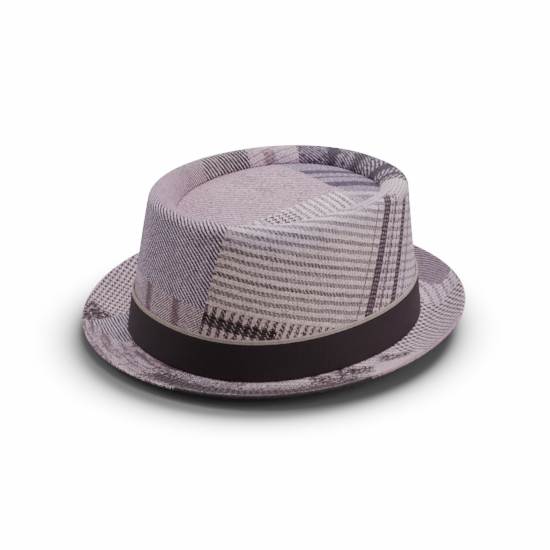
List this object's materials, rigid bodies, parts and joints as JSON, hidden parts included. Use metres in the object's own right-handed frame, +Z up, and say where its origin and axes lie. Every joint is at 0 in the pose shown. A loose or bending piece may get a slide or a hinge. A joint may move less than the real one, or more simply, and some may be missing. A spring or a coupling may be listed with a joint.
{
  "type": "porkpie hat",
  "caption": "Porkpie hat in patchwork wool cloth, with a dished crown, a short turned-up brim, a dark ribbon and a pale corded edging.",
  "frame": {"origin": "on the surface that the hat rests on, under the middle of its outline", "axes": "+Z up, the wearer faces -Y, the wearer's left is +X"},
  "size_m": [0.2416, 0.2563, 0.098],
  "materials": {
    "patchwork_cloth": "matt brushed wool, pieced from houndstooth, twill, herringbone, glen check and plaid in mauve, lilac, cream and brown-black",
    "ribbon": "dark aubergine grosgrain with fine upright ribs and a slight sheen",
    "edging": "pale beige double cord, matt"
  },
  "bodies": {
    "root": {"crown_side": "patchwork_cloth", "crown_tip": "patchwork_cloth", "brim": "patchwork_cloth", "hatband": "ribbon", "hatband_trim": "edging"}
  },
  "joints": []
}
